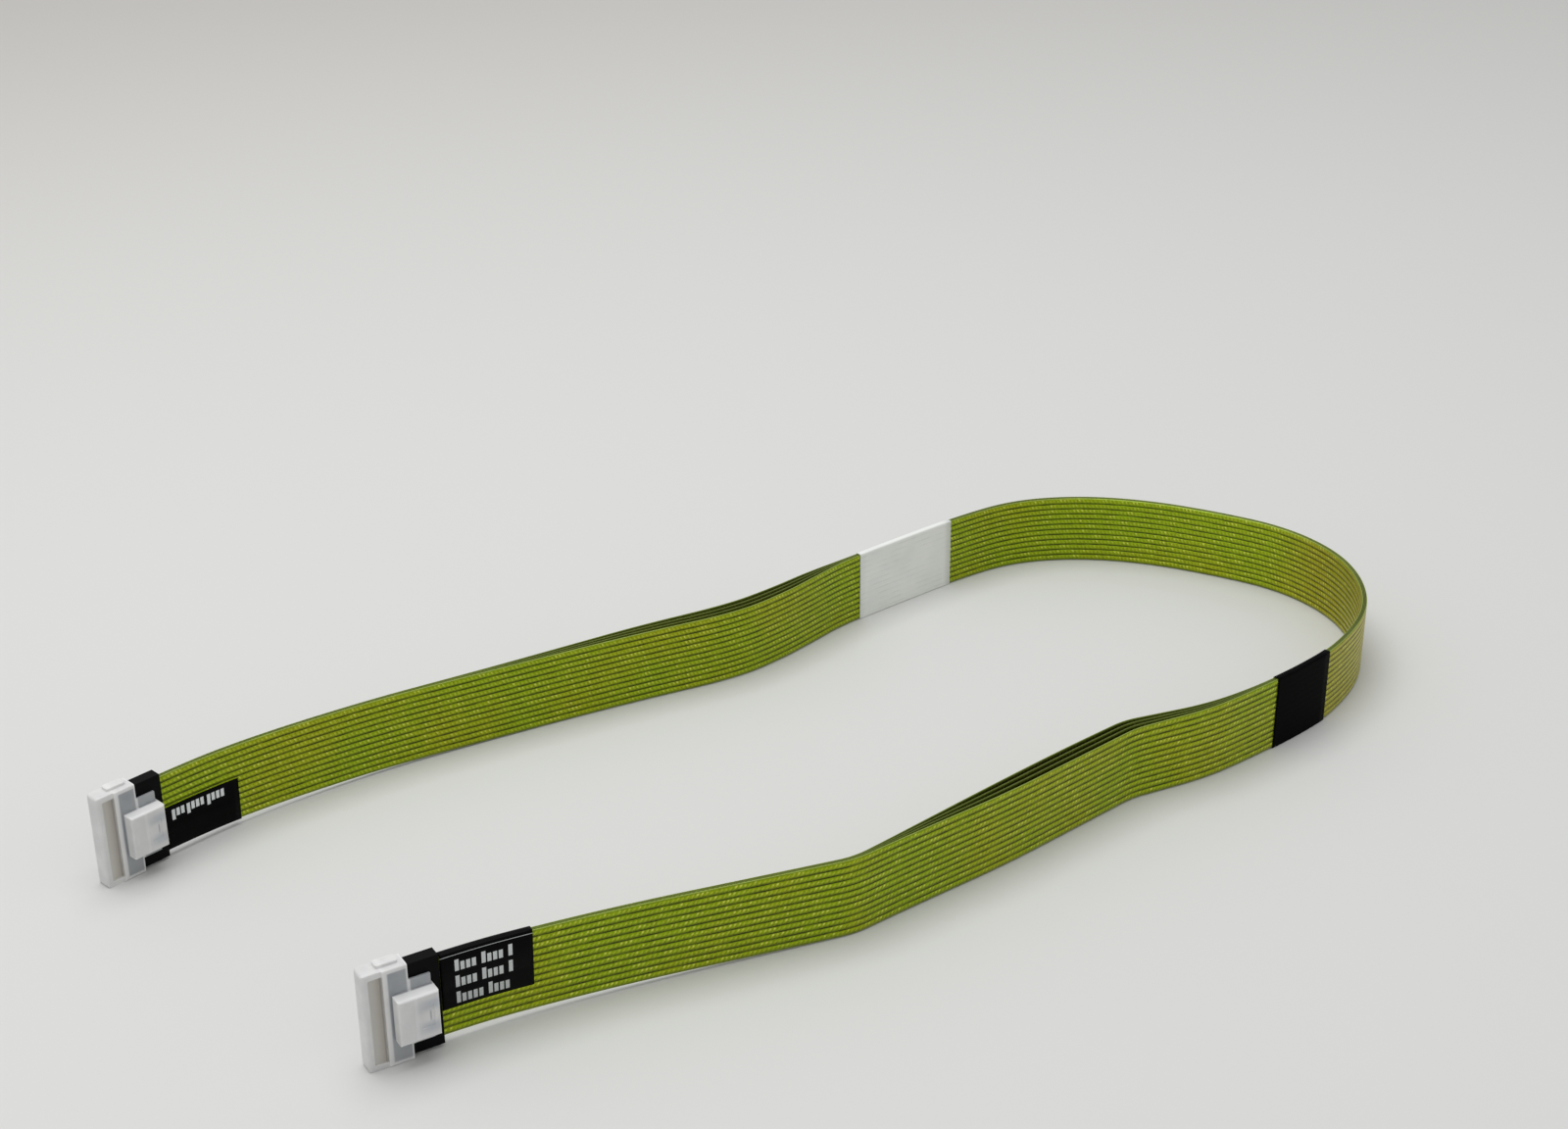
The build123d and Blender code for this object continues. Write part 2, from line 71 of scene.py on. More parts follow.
# %% [markdown]
# ## The route
# A flat cord bends only about its thin way, so its line lies almost level: it leaves plug A, runs along the
# far leg, turns, and comes back along the near leg to plug B. A list of points is the
# plainest way to say so. Each row is x, y, how far the lower edge is lifted by the plugs, and how far the
# ribbons lie apart, because they part a little between the places where something holds them together. The
# near leg has two short creases, and a point close to each side of the corner keeps the line straight up to
# them.

# %% The route's points
REST_HEIGHT = 0.0003  # of the ribbons' lower edge, where the label and the tape carry them
PLUG_HEIGHT = 0.015  # of a plug's middle
SEAT = 0.004  # how far the ribbons reach into a plug
EXIT_RUN = 0.009  # how far they leave it straight
PLUGS = {"a": ((-0.1888, 0.0661), 13.5), "b": ((-0.1614, -0.0618), -2.5)}  # back's middle, degrees
ROUTE = [
    (-0.1643, 0.0715, 0.0019, TIGHT),
    (-0.1423, 0.0739, 0.0014, TIGHT),
    (-0.1123, 0.0753, 0.0007, TIGHT),
    (-0.0823, 0.0741, 0.0002, 0.0006),
    (-0.0503, 0.0725, 0.0000, 0.0011),
    (-0.0203, 0.0705, 0.0000, 0.0018),
    (0.0117, 0.0665, 0.0000, 0.0022),
    (0.0317, 0.0690, 0.0000, 0.0019),
    (0.0487, 0.0729, 0.0000, 0.0014),
    (0.0637, 0.0757, 0.0000, TIGHT),
    (0.0917, 0.0790, 0.0000, TIGHT),
    (0.1197, 0.0817, 0.0000, TIGHT),
    (0.1437, 0.0813, 0.0000, TIGHT),
    (0.1657, 0.0709, 0.0000, TIGHT),
    (0.1837, 0.0538, 0.0000, TIGHT),
    (0.1977, 0.0321, 0.0000, TIGHT),
    (0.2089, 0.0088, 0.0000, TIGHT),
    (0.2097, -0.0159, 0.0000, TIGHT),
    (0.2007, -0.0373, 0.0000, TIGHT),
    (0.1847, -0.0547, 0.0000, TIGHT),
    (0.1597, -0.0666, 0.0000, TIGHT),
    (0.1387, -0.0707, 0.0000, TIGHT),
    (0.1177, -0.0728, 0.0000, TIGHT),
    (0.0977, -0.0732, 0.0000, 0.0010),
    (0.0785, -0.0697, 0.0000, 0.0016),
    (0.0697, -0.0681, 0.0000, 0.0019),
    (0.0608, -0.0692, 0.0000, 0.0020),
    (0.0417, -0.0716, 0.0000, 0.0021),
    (0.0137, -0.0755, 0.0000, 0.0020),
    (-0.0143, -0.0786, 0.0000, 0.0011),
    (-0.0324, -0.0807, 0.0000, 0.0006),
    (-0.0423, -0.0819, 0.0000, TIGHT),
    (-0.0520, -0.0798, 0.0001, TIGHT),
    (-0.0743, -0.0751, 0.0005, TIGHT),
    (-0.1053, -0.0687, 0.0012, TIGHT),
    (-0.1323, -0.0643, 0.0017, TIGHT),
]


def offset_points(layer):
    """Control points of the line that lies `layer` ribbon distances left of the stack's middle."""
    ends = {}
    for end, ((x, y), heading) in PLUGS.items():
        way = Vector((math.cos(math.radians(heading)), math.sin(math.radians(heading))))
        lift = PLUG_HEIGHT - RIBBON_WIDTH / 2 - REST_HEIGHT
        ends[end] = [(x + way.x * run, y + way.y * run, lift, TIGHT) for run in (-SEAT, EXIT_RUN)]
    rows = ends["a"] + ROUTE + ends["b"][::-1]
    points = []
    for index, (x, y, lift, spread) in enumerate(rows):
        before, after = rows[max(index - 1, 0)], rows[min(index + 1, len(rows) - 1)]
        runs = [Vector((x - before[0], y - before[1])), Vector((after[0] - x, after[1] - y))]
        runs = [run.normalized() for run in runs if run.length > 0]
        middle = sum(runs, Vector((0, 0))).normalized()
        shift = layer * spread / middle.dot(runs[0])
        height = REST_HEIGHT + lift + RIBBON_WIDTH / 2
        points.append(Vector((x - middle.y * shift, y + middle.x * shift, height)))
    return points


print("control points of a line:", len(offset_points(0)))

# %% [markdown]
# ## From points to a line
# A NURBS spline with the route's points as its control points gives a smooth line, which is how a springy
# flat cord lies. A chain of straight runs would look like bent wire. Blender works the line out itself: a
# curve with no bevel, turned into a mesh, is a chain of points along it.

# %% Reading a smooth line
STEPS_A_SPAN = 9  # points on the line for each control point


def read_line(points):
    """Points along the smooth line that has these control points."""
    data = bpy.data.curves.new("guide", "CURVE")
    data.dimensions = "3D"
    data.resolution_u = STEPS_A_SPAN
    spline = data.splines.new("NURBS")
    spline.points.add(len(points) - 1)
    for spot, point in zip(spline.points, points):
        spot.co = (*point, 1)
    spline.order_u = 3
    spline.use_endpoint_u = True
    guide = bpy.data.objects.new("guide", data)
    chain = bpy.data.meshes.new_from_object(guide)
    line = [vertex.co.copy() for vertex in chain.vertices]
    bpy.data.objects.remove(guide)
    bpy.data.meshes.remove(chain)
    return line


def distances(line):
    """How far along the line each of its points lies."""
    sums = [0.0]
    for before, here in zip(line, line[1:]):
        sums.append(sums[-1] + (here - before).length)
    return sums


layers = [(RIBBONS - 1) / 2 - number for number in range(RIBBONS)]
ribbon_lines = [read_line(offset_points(layer)) for layer in layers]
stack_line = read_line(offset_points(0))
print("points on each line:", len(stack_line), "length of the stack:", round(distances(stack_line)[-1], 4))

# %% [markdown]
# ## A skin that follows a line
# Ribbons, labels and tape are all the same kind of shape: an upright outline carried along a line. A
# curve's bevel could do it, but a flat grid bent into place also gives each point its distance along and
# across, and the finishes need both. The grid's rows follow the line and its columns follow the outline.

# %% Bending a grid along a line
MERGE = 1e-7  # points this close are one


def carry(name, line, outline, girth=None, closed=True, slots=None):
    """Outline points are (left, up) of the line. The UV map holds metres: along the line, and girth.

    `slots` gives the material slot of each strip, from one outline point to the next.
    """
    girth = girth or [up for _, up in outline]
    columns = len(outline) + closed
    along = distances(line)
    shape = bmesh.new()
    bmesh.ops.create_grid(shape, x_segments=columns - 1, y_segments=len(line) - 1, size=1)
    pattern = shape.loops.layers.uv.new("UVMap")
    shape.verts.ensure_lookup_table()
    spots = {}
    for vertex in shape.verts:
        row, column = divmod(vertex.index, columns)
        column %= len(outline)
        before, after = line[max(row - 1, 0)], line[min(row + 1, len(line) - 1)]
        forward = (after - before).normalized()
        left = Vector((-forward.y, forward.x, 0)).normalized()
        side, up = outline[column]
        vertex.co = line[row] + left * side + forward.cross(left) * up
        spots[vertex] = (along[row], girth[column])
    for face in shape.faces:
        face.material_index = slots[min(vertex.index % columns for vertex in face.verts)] if slots else 0
        for loop in face.loops:
            loop[pattern].uv = spots[loop.vert]
    if closed:
        bmesh.ops.remove_doubles(shape, verts=shape.verts, dist=MERGE)
        bmesh.ops.holes_fill(shape, edges=[edge for edge in shape.edges if edge.is_boundary], sides=0)
    bmesh.ops.recalc_face_normals(shape, faces=shape.faces)
    return finish_piece(name, shape)


def finish_piece(name, shape, smooth=True):
    """Turns a bmesh into an object that sits at the origin."""
    mesh = bpy.data.meshes.new(name)
    shape.to_mesh(mesh)
    shape.free()
    for face in mesh.polygons:
        face.use_smooth = smooth
    piece = bpy.data.objects.new(name, mesh)
    bpy.context.scene.collection.objects.link(piece)
    return piece


# %% [markdown]
# ## Writing shader maths
# A finish is a small network of nodes. Placing each node by hand takes a page for one sum, so this class
# lets the sums be written as Python sums: a value wraps a socket, and an operator adds the Math node that
# works it out.

# %% A value
class Value:
    """A number that varies over a surface: a socket, and the finish that it belongs to."""

    def __init__(self, finish, socket):
        self.finish = finish
        self.socket = socket

    def math(self, operation, *others):
        inputs = dict(enumerate([self, *others]))
        return self.finish.node("ShaderNodeMath", {"operation": operation}, inputs)

    def __add__(self, other):
        return self.math("ADD", other)

    def __sub__(self, other):
        return self.math("SUBTRACT", other)

    def __rsub__(self, other):
        return self.finish.node("ShaderNodeMath", {"operation": "SUBTRACT"}, {0: other, 1: self})

    def __mul__(self, other):
        return self.math("MULTIPLY", other)

    def __truediv__(self, other):
        return self.math("DIVIDE", other)

    def __lt__(self, other):
        return self.math("LESS_THAN", other)

    def __gt__(self, other):
        return self.math("GREATER_THAN", other)

    __radd__ = __add__
    __rmul__ = __mul__

    def fraction(self):
        return self.math("FRACT")

    def whole(self):
        return self.math("FLOOR")

    def size(self):
        return self.math("ABSOLUTE")

    def between(self, low, high):
        """1 where the value lies from low to high, else 0."""
        return (self > low) * (self < high)

    def ramp(self, low, high):
        """0 below low, 1 above high, and a smooth rise between."""
        settings = {"interpolation_type": "SMOOTHSTEP"}
        inputs = {"Value": self, "From Min": low, "From Max": high}
        return self.finish.node("ShaderNodeMapRange", settings, inputs)


# %% [markdown]
# ## Holding a finish
# This class holds one material, and adds every node that isn't a sum. What is the same all over a piece,
# such as how metallic it is, is given by name at the start. What changes over the surface is fed in later.

# %% A finish
class Finish:
    """A material with one Principled shader, whose constant sockets are given by name."""

    def __init__(self, name, **sockets):
        self.material = bpy.data.materials.new(name)
        self.material.use_nodes = True
        self.tree = self.material.node_tree
        self.shader = self.tree.nodes["Principled BSDF"]
        for key, value in sockets.items():
            self.feed(key.replace("_", " ").title().replace("Ior", "IOR"), value)

    def feed(self, name, value):
        self._give(self.shader.inputs[name], value)

    def _give(self, socket, value):
        """Links a value to the socket, or sets a constant on it."""
        if isinstance(value, Value):
            self.tree.links.new(value.socket, socket)
        elif socket.type == "RGBA" and len(value) == 3:
            socket.default_value = (*value, 1)
        else:
            socket.default_value = value

    def node(self, kind, settings=None, inputs=None, output=0):
        """Adds any node: its settings first, and then what goes into its sockets."""
        made = self.tree.nodes.new(kind)
        for key, value in (settings or {}).items():
            setattr(made, key, value)
        for key, value in (inputs or {}).items():
            self._give(made.inputs[key], value)
        return Value(self, made.outputs[output])

    def parts(self, vector):
        """A vector's X, Y and Z, each as a value."""
        first = self.node("ShaderNodeSeparateXYZ", None, {0: vector})
        return [Value(self, socket) for socket in first.socket.node.outputs]

    def along_and_across(self):
        """The piece's own UV map as two values, in metres."""
        return self.parts(self.node("ShaderNodeUVMap", {"uv_map": "UVMap"}))[:2]

    def place(self):
        """Where a point lies in the shared frame: the Object output, since every piece is at the origin."""
        return self.node("ShaderNodeTexCoord", output=3)

    def noise(self, scale, detail=2.0, where=None):
        inputs = {"Vector": where or self.place(), "Scale": scale, "Detail": detail}
        return self.node("ShaderNodeTexNoise", None, inputs)

    def mix(self, first, second, factor):
        """Colours: the first where the factor is 0 and the second where it is 1."""
        settings = {"data_type": "RGBA"}
        return self.node("ShaderNodeMix", settings, {0: factor, 6: first, 7: second}, output=2)

    def bump(self, height, strength, distance):
        inputs = {"Height": height, "Strength": strength, "Distance": distance}
        self.feed("Normal", self.node("ShaderNodeBump", None, inputs))


# %% [markdown]
# ## The ribbons
# A ribbon is a row of twelve lead pairs, held together by a film. So its section is a row of flat ovals
# with thin webs between. Twelve tubes would leave gaps where the webs are, so one outline goes round the
# whole row: a sine, flattened by a power, gives each rib its crown.

# %% The outline of a ribbon
POINTS_A_RIB = 7
CROWN_SHAPE = 0.55  # under 1 makes the crown flatter and its sides steeper


def rib_thickness(angle):
    """The ribbon's thickness at a place across a rib, given as an angle from 0 to pi."""
    return WEB_THICKNESS + (RIB_THICKNESS - WEB_THICKNESS) * math.sin(angle) ** CROWN_SHAPE


def ribbon_outline():
    """Up the left face from rib to rib, and down the right one."""
    face = [(WEB_THICKNESS / 2, -RIBBON_WIDTH / 2)]
    for rib in range(RIBS):
        middle = (rib + 0.5 - RIBS / 2) * RIB_PITCH
        for step in range(POINTS_A_RIB):
            angle = math.pi * step / POINTS_A_RIB
            face.append((rib_thickness(angle) / 2, middle - math.cos(angle) * RIB_PITCH / 2))
    face += [(WEB_THICKNESS / 2, RIBS * RIB_PITCH / 2), (WEB_THICKNESS / 2, RIBBON_WIDTH / 2)]
    return face + [(-side, up) for side, up in reversed(face)]


outline = ribbon_outline()
print("points round a ribbon:", len(outline))

# %% [markdown]
# ## The green film
# Under the film each pair has a foil tape that winds round it, so the face shows a fine slanted seam at
# each turn. The seam is painted bright on the crowns as a highlight, where the foil's edge would catch the
# light. The grooves are darkened with painted shade, painted glints sit on the upper side of each crown, the
# tint drifts at random along the cable, and a painted tan sheen lies along the tight part of the bend. The
# film's cut edges get a painted highlight. The UV map holds metres, so all of it is sums on two lengths: a
# rib is one pitch across, and a seam is one turn along. The inner faces of the stack take a darker copy,
# painted shade, since hardly any light reaches them.

# %% Colours and sizes of the green film
FILM_GREEN = (0.27, 0.40, 0.003)
FILM_OLIVE = (0.34, 0.39, 0.004)
BEND_PAINTED_SHEEN = (0.44, 0.33, 0.02)
FILM_GRAIN = (0.15, 0.20, 0.002)
SEAM_PAINTED_HIGHLIGHT = (0.62, 0.66, 0.05)
FOIL_GLINT = (0.85, 0.86, 0.16)
GROOVE_PAINTED_SHADE = (0.012, 0.018, 0.0005)
STACK_DARK = (0.006, 0.011, 0.002)
RIM_PAINTED_HIGHLIGHT = (0.42, 0.55, 0.10)
RIDGE_HEIGHT = 0.0004  # the whole height that the bump stands for
FOIL_TURN = 0.0014  # from seam to seam along a pair
SEAM_SLANT = 0.7  # of a turn, from one side of a pair to the other
PAIR_STAGGER = 0.37  # of a turn, from each pair to the next
RIM_WIDTH = 0.00025  # of the film's cut edge, which gets a painted highlight along both edges of the ribbon
BEND_SHEEN_START, BEND_SHEEN_END, BEND_SHEEN_FADE = 0.43, 0.54, 0.03  # a painted tan sheen lies along the tight part of the bend, between these places
FILM_GLOSS = {
    "metallic": 0.6,
    "specular_ior_level": 0.2,
    "coat_weight": 0.06,
    "coat_roughness": 0.2,
    "sheen_weight": 0.22,
    "sheen_roughness": 0.3,
    "sheen_tint": (1.0, 0.62, 0.28),
}


# %% The green film
def ribbon_film(name, shade):
    """`shade` is how far the film is darkened, from 0 outside the stack towards 1."""
    film = Finish(name, **FILM_GLOSS)
    along, across = film.along_and_across()
    rib = across / RIB_PITCH + RIBS / 2
    in_rib = rib.fraction()
    crown = 1 - (in_rib * 2 - 1).size()
    ridge = (in_rib * math.pi).math("SINE")
    wander = film.noise(90, 2) * 0.9
    turn = (along / FOIL_TURN + in_rib * SEAM_SLANT + rib.whole() * PAIR_STAGGER + wander).fraction()
    seam = turn.ramp(0.0, 0.2) * (1 - turn.ramp(0.3, 0.75))
    patches = film.noise(28, 3).ramp(0.35, 0.7)
    grain = film.noise(1500, 3)
    glints = film.noise(420, 2).ramp(0.48, 0.66) * in_rib.ramp(0.5, 0.62) * (1 - in_rib.ramp(0.78, 0.9))
    groove_shade_wander = film.node("ShaderNodeTexNoise", {"noise_dimensions": "1D"}, {"W": rib.whole() * 7.3 + along * 25})
    green = film.mix(FILM_GREEN, FILM_OLIVE, patches)
    # a painted tan sheen, standing for the film's reflection, along the tight part of the bend
    bend_sheen = along.ramp(BEND_SHEEN_START, BEND_SHEEN_START + BEND_SHEEN_FADE) * (1 - along.ramp(BEND_SHEEN_END, BEND_SHEEN_END + BEND_SHEEN_FADE))
    bend_sheened = film.mix(green, BEND_PAINTED_SHEEN, bend_sheen * 0.6)
    mottled = film.mix(bend_sheened, FILM_GRAIN, grain.ramp(0.45, 0.7) * 0.6)
    # the seams are painted bright on the crowns as a highlight
    seam_highlighted = film.mix(mottled, SEAM_PAINTED_HIGHLIGHT, seam * crown.ramp(0.3, 0.8) * (0.3 + grain * 0.7) * 0.7)
    sparkling = film.mix(seam_highlighted, FOIL_GLINT, glints * seam * 0.75)
    # painted shade in the grooves between the ribs, stronger on some ribs and stretches than on others
    groove_shade = 1 - crown.ramp(0.03, 0.36)
    groove_shaded = film.mix(sparkling, GROOVE_PAINTED_SHADE, groove_shade * (0.55 + groove_shade_wander.ramp(0.3, 0.6) * 0.42))
    # a painted highlight along the film's cut edges, weaker inside the stack
    rim_highlight = (across.size() - (RIBBON_WIDTH / 2 - RIM_WIDTH)).ramp(0.0, RIM_WIDTH / 3)
    inside = film.mix(groove_shaded, STACK_DARK, shade)
    film.feed("Base Color", film.mix(inside, RIM_PAINTED_HIGHLIGHT, rim_highlight * (0.85 - shade * 0.5)))
    film.feed("Roughness", 0.24 + grain * 0.18)
    film.bump(ridge + seam * 0.12 + grain * 0.08, 1.0, RIDGE_HEIGHT)
    return film.material


# %% [markdown]
# ## Four ribbons
# The outer face of the first and of the last ribbon is seen, and all the faces between them look into the
# stack. Each ribbon therefore has two material slots, and each strip of its skin is given one of them.

# %% Four ribbons
OUTSIDE, INSIDE = 0, 1  # the ribbon's material slots
INSIDE_SHADE = 0.82
film_materials = [ribbon_film("ribbon_film", 0.0), ribbon_film("ribbon_film_inside", INSIDE_SHADE)]
strips = len(outline) // 2 - 1
for number, line in enumerate(ribbon_lines, 1):
    left_face = [OUTSIDE if number == 1 else INSIDE] * strips
    right_face = [OUTSIDE if number == RIBBONS else INSIDE] * strips
    edge = OUTSIDE if number in (1, RIBBONS) else INSIDE
    ribbon = carry(f"ribbon_{number}_film", line, outline, slots=[*left_face, edge, *right_face, edge])
    for material in film_materials:
        ribbon.data.materials.append(material)
    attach(ribbon, "root")
    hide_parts(f"ribbon_{number}")
    print(ribbon.name, "faces", len(ribbon.data.polygons), "length", round(distances(line)[-1], 4))

# %% [markdown]
# ## What is wrapped round the ribbons
# The white label and the black tape are thin bands. They lie on the ribs and show them faintly. A plain box
# would lose that print-through, so their outline is a rounded box with a shallow dip over each web, carried
# along the stack's own line. A Solidify modifier gives the skin its thickness.

# %% A band round the stack
BAND_CLEARANCE = 0.00028  # from the ribs to the band's outer face
BAND_OUTSIDE = STACK_THICKNESS / 2 + BAND_CLEARANCE
BAND_HALF_HEIGHT = RIBBON_WIDTH / 2 + BAND_CLEARANCE
BAND_CORNER = 0.00028
BAND_THICKNESS = 0.00012
BAND_INSET = 0.0004  # of each end, so that the band stays within its place
IMPRINT = 0.00004  # the dip over a web
CROWDING = 3  # a point nearer than a step over this to a cut end is dropped


def stretch(low, high, leg):
    """The part of the stack's line on one leg between two places along X."""
    half = len(stack_line) // 2
    side = stack_line[:half] if leg == "far" else stack_line[half:]
    inside = [point for point in side if low < point.x < high]
    ends = []
    for limit, spot in ((low, -1), (high, 1)):
        pair = min(zip(side, side[1:]), key=lambda two: abs(two[0].x - limit) + abs(two[1].x - limit))
        share = (limit - pair[0].x) / (pair[1].x - pair[0].x)
        ends.append(pair[0].lerp(pair[1], share))
    if inside[0].x > inside[-1].x:
        ends.reverse()
    gap = (inside[1] - inside[0]).length / CROWDING
    inside = [point for point in inside if min((point - end).length for end in ends) > gap]
    return [ends[0], *inside, ends[1]]


def band_outline(half_thickness, half_height):
    """The same way round as a ribbon's outline, with a shallow dip over each web."""
    face = [(half_thickness - BAND_CORNER, -half_height), (half_thickness, BAND_CORNER - half_height)]
    for rib in range(RIBS):
        middle = (rib + 0.5 - RIBS / 2) * RIB_PITCH
        for share in (-0.5, -0.25, 0, 0.25):
            dip = IMPRINT * (1 - math.cos(math.pi * share) ** 2)
            face.append((half_thickness - dip, middle + share * RIB_PITCH))
    face += [(half_thickness, half_height - BAND_CORNER), (half_thickness - BAND_CORNER, half_height)]
    return face + [(-side, up) for side, up in reversed(face)]


def add_band(name, node, leg, material):
    """A band that stands for a node of the construction, on one leg of the cable."""
    low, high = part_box(node)
    line = stretch(low.x + BAND_INSET, high.x - BAND_INSET, leg)
    band = carry(name, line, band_outline(BAND_OUTSIDE, BAND_HALF_HEIGHT))
    open_ends(band)
    band.data.materials.append(material)
    add_wall(band, BAND_THICKNESS)
    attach(band, "root")
    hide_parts(node)
    print(band.name, "from", round(low.x, 4), "to", round(high.x, 4))


def open_ends(piece):
    """Takes off the two end faces that close a skin, so that it is a sleeve."""
    shape = bmesh.new()
    shape.from_mesh(piece.data)
    ends = [face for face in shape.faces if len(face.verts) > 4]
    bmesh.ops.delete(shape, geom=ends, context="FACES_ONLY")
    shape.to_mesh(piece.data)
    shape.free()


def add_wall(piece, thickness):
    """Thickens a skin inwards."""
    wall = piece.modifiers.new("wall", "SOLIDIFY")
    wall.thickness = thickness
    wall.offset = -1


# %% [markdown]
# ## White film and black cloth
# The label is a satin film, clean but not perfectly even, with a little painted shade where it dips between
# the ribs.
# The tape is a woven cloth, so two zigzag waves crossed on the UV map stand for its threads. Both are
# nearly one colour, and what makes them real is the small change in roughness and height.

# %% The two finishes of the bands
LABEL_WHITE, LABEL_GREY, LABEL_DIP_SHADE = (0.82, 0.84, 0.815), (0.72, 0.75, 0.73), (0.56, 0.60, 0.57)
TAPE_BLACK, TAPE_FLUFF = (0.0008, 0.0008, 0.0009), (0.003, 0.003, 0.0032)
THREAD = 0.00035  # from thread to thread of the cloth tape


def label_film():
    """White film with a satin face, with a little painted shade in the dips between the ribs."""
    film = Finish("label_film")
    _, across = film.along_and_across()
    in_rib = (across / RIB_PITCH + RIBS / 2).fraction()
    # painted shade where the film dips between the ribs
    dip = 1 - (in_rib * 2 - 1).size().ramp(0.0, 0.3)
    smudge = film.noise(90, 4).ramp(0.35, 0.75)
    white = film.mix(LABEL_WHITE, LABEL_GREY, smudge * 0.5)
    film.feed("Base Color", film.mix(white, LABEL_DIP_SHADE, dip * film.noise(160, 2).ramp(0.4, 0.7) * 0.45))
    film.feed("Roughness", 0.36 + smudge * 0.14)
    film.bump(film.noise(220, 3) + film.noise(2500, 2) * 0.2, 0.12, 0.0002)
    return film.material


def cloth_tape():
    """Black cloth tape: threads both ways, close to matt."""
    tape = Finish("cloth_tape", specular_ior_level=0.03)
    warp, weft = (((way / THREAD).fraction() * 2 - 1).size() for way in tape.along_and_across())
    fluff = tape.noise(900, 3)
    tape.feed("Base Color", tape.mix(TAPE_BLACK, TAPE_FLUFF, fluff.ramp(0.4, 0.7) * 0.7))
    tape.feed("Roughness", 0.5 + fluff * 0.25)
    tape.bump(warp * 0.5 + weft * 0.5 + fluff * 0.6, 0.3, 0.00004)
    return tape.material


add_band("wrap_label_film", "wrap_label", "far", label_film())
add_band("binding_tape_cloth", "binding_tape", "near", cloth_tape())

# %% [markdown]
# ## The printed flags
# Next to each plug a black label is folded over one edge of the ribbons: the lower edge at plug A and the
# upper one at plug B. A flat sheet could be folded step by step, but carrying the folded outline along the
# line, like the bands, does it at once. The outline is left open, because the label's two free edges don't
# meet.

# %% Sizes of the flags
FLAGS = {  # a row of print is how far it lies from the fold, then each word's start and number of letters
    "a": {"fold": -1, "depth": 0.014, "rows": [(0.0093, ((0.0027, 3), (0.0079, 4), (0.0150, 4)))]},
    "b": {
        "fold": 1,
        "depth": 0.0168,
        "rows": [
            (0.0025, ((0.0041, 4), (0.0116, 4), (0.0191, 1))),
            (0.0075, ((0.0041, 4), (0.0116, 4), (0.0191, 1))),
            (0.0125, ((0.0041, 5), (0.0132, 4))),
        ],
    },
}
FLAG_THICKNESS = 0.00013
FLAG_SIDE = STACK_THICKNESS / 2 + 0.00025  # from the stack's middle to the flag's outer face
FLAG_EDGE = RIBBON_WIDTH / 2 + 0.00027  # from the stack's middle to the flag's fold
FLAG_CORNER = 0.0004
FLAG_MITRE = 0.3  # of the corner, where its middle point lies
FLAG_INSET = 0.0002  # of each end, so that the flag stays within its place


# %% The folded skin
def flag_line(end):
    """The stack's line under a flag, running out from the plug."""
    low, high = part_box(f"flag_label_{end}")
    line = stretch(low.x + FLAG_INSET, high.x - FLAG_INSET, "far" if end == "a" else "near")
    return line if line[0].x < line[-1].x else line[::-1]


def flag_outline(fold, depth):
    """Up the face on the latch side, over the edge and down the other face, with the girth of each point."""
    mitre = FLAG_CORNER * FLAG_MITRE
    half = [
        (FLAG_SIDE, RIBBON_WIDTH / 2 - depth),
        (FLAG_SIDE, FLAG_EDGE - FLAG_CORNER),
        (FLAG_SIDE - mitre, FLAG_EDGE - mitre),
        (FLAG_SIDE - FLAG_CORNER, FLAG_EDGE),
    ]
    points = [(-x, fold * z) for x, z in half] + [(x, fold * z) for x, z in reversed(half)]
    girth = [FLAG_EDGE - z for _, z in half] + [z - FLAG_EDGE - 2 * FLAG_SIDE for _, z in reversed(half)]
    return points, girth


# %% [markdown]
# ## Print without letters
# The print on a real flag says which port its plug goes to. Here it is rows of plain pale blocks, as many
# as a word has letters. The UV map of the skin measures from the plug and from the fold, so a block is a
# few comparisons on two lengths, and no picture is needed.

# %% The print
ROW_HEIGHT = 0.0035
LETTER_PITCH = 0.0016
LETTER_SHARE = 0.72  # of the pitch that a block fills
LOW_LETTER = 0.27  # of the row's height that a low letter leaves free
RULE_TOP, RULE_END = 0.0008, 0.00098  # a thin line along the upper fold
PRINT_BLACK, PRINT_GREY, INK = (0.0010, 0.0010, 0.0011), (0.003, 0.003, 0.0033), (0.60, 0.63, 0.63)


def flag_print(end):
    """Black film with rows of pale blocks, one for each letter. A word starts with a tall one."""
    film = Finish(f"flag_print_{end}", specular_ior_level=0.04)
    along, down = film.along_and_across()
    ink = None
    for top, words in FLAGS[end]["rows"]:
        tall, low = (down.between(top + ROW_HEIGHT * gap, top + ROW_HEIGHT) for gap in (0, LOW_LETTER))
        for start, letters in words:
            place = (along - start) / LETTER_PITCH
            block = place.between(0, letters) * (place.fraction() < LETTER_SHARE)
            word = block * (low + (place < 1) * (tall - low))
            ink = word if ink is None else ink + word
    if FLAGS[end]["fold"] > 0:
        ink = ink + down.between(RULE_TOP, RULE_END) * 0.8
    wear = film.noise(1500, 3).ramp(0.25, 0.5)
    black = film.mix(PRINT_BLACK, PRINT_GREY, film.noise(120, 3))
    film.feed("Base Color", film.mix(black, INK, ink * (0.85 + wear * 0.15)))
    film.feed("Roughness", 0.26 + film.noise(400, 3) * 0.14)
    film.bump(film.noise(260, 2), 0.1, 0.0002)
    return film.material


# %% Two flags
for end, flag_facts in FLAGS.items():
    outline_points, girth = flag_outline(flag_facts["fold"], flag_facts["depth"])
    flag = carry(f"flag_{end}_film", flag_line(end), outline_points, girth, closed=False)
    flag.data.materials.append(flag_print(end))
    add_wall(flag, FLAG_THICKNESS)
    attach(flag, "root")
    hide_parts(f"flag_label_{end}")
    print(flag.name, "rows of print:", len(flag_facts["rows"]))

